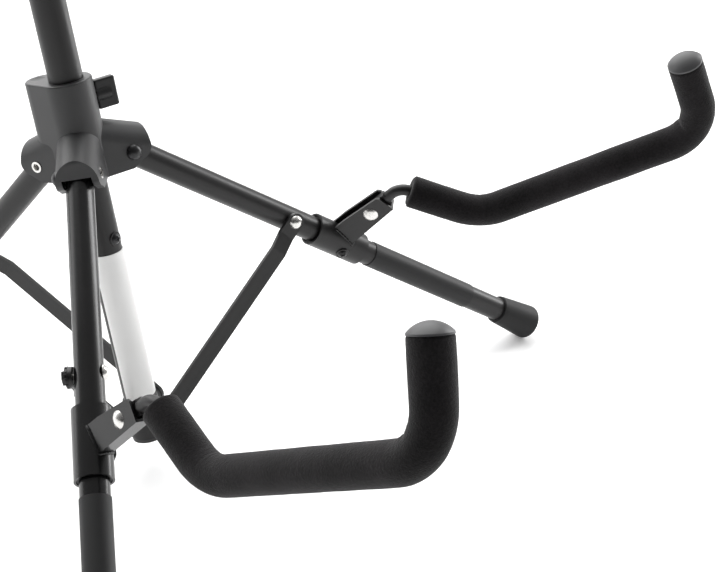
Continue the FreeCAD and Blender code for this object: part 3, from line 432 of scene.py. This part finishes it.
for hand, letter, seed in ((-1, "l", 21.3), (1, "r", 26.4)):
    prong = [
        Vector((hand * YOKE_HALF, -YOKE_DEPTH, 0)),
        Vector((hand * YOKE_HALF, YOKE_BACK, 0)),
        Vector((hand * YOKE_FOAM_GAP, YOKE_BACK, 0)),
    ]
    foam_sleeve(f"yoke_foam_skin_{letter}", prong, (YOKE_BEND,), YOKE_PINCHES, (CAPPED_ROUND, OPEN_ROUND),
                YOKE_FOAM_RADIUS, yoke_frame(), "neck", "yoke_foam", seed)

# ---------------------------------------------------------------- weld beads

# In mm: the arm sleeve, the foot of the clevis's channel, with its half width along the rivet and its two
# ends along Y, and the bead
SLEEVE_RADIUS = 13.2
CHANNEL_HALF, CHANNEL_TOP, CHANNEL_BASE = 6.2, -10.5, 10.6
BEAD_RADIUS = 1.25

BEAD_POINTS = 10
BEAD_STEPS = 20
BEAD_END_TAPER = 0.45
BEAD_RIPPLE, RIPPLE_STEP = 0.16, 2.1
BEAD_LUMPS, LUMP_STEP = 0.14, 0.31
WELD_SEEDS = (1.7, 5.7)


def on_sleeve(side, y, z):
    """Where a line along the clevis frame's X, through (y, z) of that frame, meets the arm sleeve's skin."""
    to_world = clevis_frame(side)
    hinge, along = joint_place(f"{side}_leg_hinge"), leg_axis(side)
    start = to_world @ (Vector((0, y, z)) * MM) - hinge
    way = -to_world.to_3x3().col[0].normalized()
    start_across = start - along * start.dot(along)
    way_across = way - along * way.dot(along)
    a = way_across.length_squared
    b = start_across.dot(way_across)
    c = start_across.length_squared - (SLEEVE_RADIUS * MM) ** 2
    return hinge + start + way * ((-b - math.sqrt(max(0.0, b * b - a * c))) / a)


def weld_bead(name, points, body, seed):
    """A rippled bead of weld along a row of points."""
    vertices, faces = [], []
    last = len(points) - 1
    for index, point in enumerate(points):
        forward = (points[min(index + 1, last)] - points[max(index - 1, 0)]).normalized()
        side = forward.orthogonal().normalized()
        if index:
            side = (previous - forward * previous.dot(forward)).normalized()
        previous = side
        other = forward.cross(side)
        taper = BEAD_END_TAPER if index in (0, last) else 1.0
        ripple = BEAD_RIPPLE * math.sin(index * RIPPLE_STEP + seed)
        lumps = BEAD_LUMPS * noise.noise(Vector((index * LUMP_STEP, seed, 0)))
        radius = BEAD_RADIUS * MM * taper * (1 + ripple + lumps)
        for k in range(BEAD_POINTS):
            angle = 2 * math.pi * k / BEAD_POINTS
            vertices.append(point + (side * math.cos(angle) + other * math.sin(angle)) * radius)
    for index in range(last):
        for k in range(BEAD_POINTS):
            n = (k + 1) % BEAD_POINTS
            a, b = index * BEAD_POINTS, (index + 1) * BEAD_POINTS
            faces.append((a + k, a + n, b + n, b + k))
    faces.append(tuple(reversed(range(BEAD_POINTS))))
    faces.append(tuple(last * BEAD_POINTS + k for k in range(BEAD_POINTS)))
    # the beads get the glossy copy of the black paint that is darkened as painted shade
    make_piece(name, vertices, faces, SHADED_ENAMEL, body)


def channel_foot(side):
    """Points along the channel's three walls where they meet the sleeve."""
    wall = [CHANNEL_TOP + (CHANNEL_BASE - CHANNEL_TOP) * step / BEAD_STEPS for step in range(BEAD_STEPS + 1)]
    across = [CHANNEL_HALF - 2 * CHANNEL_HALF * step / BEAD_STEPS for step in range(1, BEAD_STEPS)]
    rows = [(y, CHANNEL_HALF) for y in wall]
    rows += [(CHANNEL_BASE, z) for z in across]
    rows += [(y, -CHANNEL_HALF) for y in reversed(wall)]
    return [on_sleeve(side, y, z) for y, z in rows]


for side, seed in zip(SIDES, WELD_SEEDS):
    weld_bead(f"{side}_clevis_weld", channel_foot(side), f"{side}_leg", seed)

# ---------------------------------------------------------------- studio

FLOOR_HALF = 40.0
FLOOR_TONE, FLOOR_GLOW = 0.94, 0.2
floor_corners = [(x * FLOOR_HALF, y * FLOOR_HALF, 0) for x, y in ((-1, -1), (1, -1), (1, 1), (-1, 1))]
floor_mesh = bpy.data.meshes.new("floor")
floor_mesh.from_pydata(floor_corners, [], [(0, 1, 2, 3)])
floor = bpy.data.objects.new("floor", floor_mesh)
bpy.context.scene.collection.objects.link(floor)
floor_paint, _, floor_shader, _ = new_material("floor_paint")
floor_shader.inputs["Base Color"].default_value = (FLOOR_TONE, FLOOR_TONE, FLOOR_TONE, 1)
floor_shader.inputs["Roughness"].default_value = 0.7
floor_shader.inputs["Emission Color"].default_value = (1, 1, 1, 1)
floor_shader.inputs["Emission Strength"].default_value = FLOOR_GLOW
floor_mesh.materials.append(floor_paint)

# The sky lights the object from behind and hardly from the front, and it is white where the camera sees it
SKY_FRONT, SKY_BACKDROP, SKY_SEEN = 0.04, 0.72, 1.0
BACKDROP_WAY = (0.84, 0.43, 0.33)
BACKDROP_START, BACKDROP_FULL = -0.6, 0.9
world = bpy.data.worlds.new("studio")
bpy.context.scene.world = world
world.use_nodes = True
sky = world.node_tree.nodes["Background"]
sky.inputs["Color"].default_value = (1, 1, 1, 1)
sky_place = world.node_tree.nodes.new("ShaderNodeTexCoord")
towards = world.node_tree.nodes.new("ShaderNodeVectorMath")
towards.operation = "DOT_PRODUCT"
towards.inputs[1].default_value = BACKDROP_WAY
world.node_tree.links.new(sky_place.outputs["Generated"], towards.inputs[0])
backdrop = world.node_tree.nodes.new("ShaderNodeMapRange")
backdrop.inputs["From Min"].default_value = BACKDROP_START
backdrop.inputs["From Max"].default_value = BACKDROP_FULL
backdrop.inputs["To Min"].default_value = SKY_FRONT
backdrop.inputs["To Max"].default_value = SKY_BACKDROP
world.node_tree.links.new(towards.outputs["Value"], backdrop.inputs["Value"])
rays = world.node_tree.nodes.new("ShaderNodeLightPath")
sky_level = world.node_tree.nodes.new("ShaderNodeMapRange")
sky_level.inputs["To Max"].default_value = SKY_SEEN
world.node_tree.links.new(backdrop.outputs["Result"], sky_level.inputs["To Min"])
world.node_tree.links.new(rays.outputs["Is Camera Ray"], sky_level.inputs["Value"])
world.node_tree.links.new(sky_level.outputs["Result"], sky.inputs["Strength"])
bpy.context.scene.view_settings.view_transform = "Standard"

# A broad sun overhead and two soft boxes, which are named as the camera sees them
DIFFUSER_WAY = Vector((-0.42, -0.55, -0.72))
DIFFUSER_ENERGY, DIFFUSER_SPREAD = 3.6, 72
BOX_AIM = Vector((0, 0, 0.25))
BOX_WIDTH, BOX_HEIGHT = 0.5, 1.6


def put_light(name, kind, energy, way):
    """A light that shines along a direction, at the origin until it is moved."""
    light = bpy.data.lights.new(name, kind)
    light.energy = energy
    lamp = bpy.data.objects.new(name, light)
    lamp.rotation_euler = way.to_track_quat("-Z", "Y").to_euler()
    bpy.context.scene.collection.objects.link(lamp)
    return lamp


diffuser = put_light("overhead_diffuser", "SUN", DIFFUSER_ENERGY, DIFFUSER_WAY)
diffuser.data.angle = math.radians(DIFFUSER_SPREAD)
for name, place, power in (("left_box", (-0.4, 1.8, 0.9), 6), ("right_box", (1.7, -0.9, 0.8), 24)):
    box = put_light(name, "AREA", power, BOX_AIM - Vector(place))
    box.location = place
    box.data.shape = "RECTANGLE"
    box.data.size = BOX_WIDTH
    box.data.size_y = BOX_HEIGHT

CAMERA_PLACE = (-0.8213, -0.5724, 0.7010)
CAMERA_TILT, CAMERA_HEADING = 61.619, -62.776
CAMERA_LENS = 77.37
camera_data = bpy.data.cameras.new("camera")
camera_data.sensor_width = 36
camera_data.lens = CAMERA_LENS
camera_data.clip_end = 50
camera = bpy.data.objects.new("camera", camera_data)
camera.location = CAMERA_PLACE
camera.rotation_euler = (math.radians(CAMERA_TILT), 0, math.radians(CAMERA_HEADING))
bpy.context.scene.collection.objects.link(camera)
bpy.context.scene.camera = camera
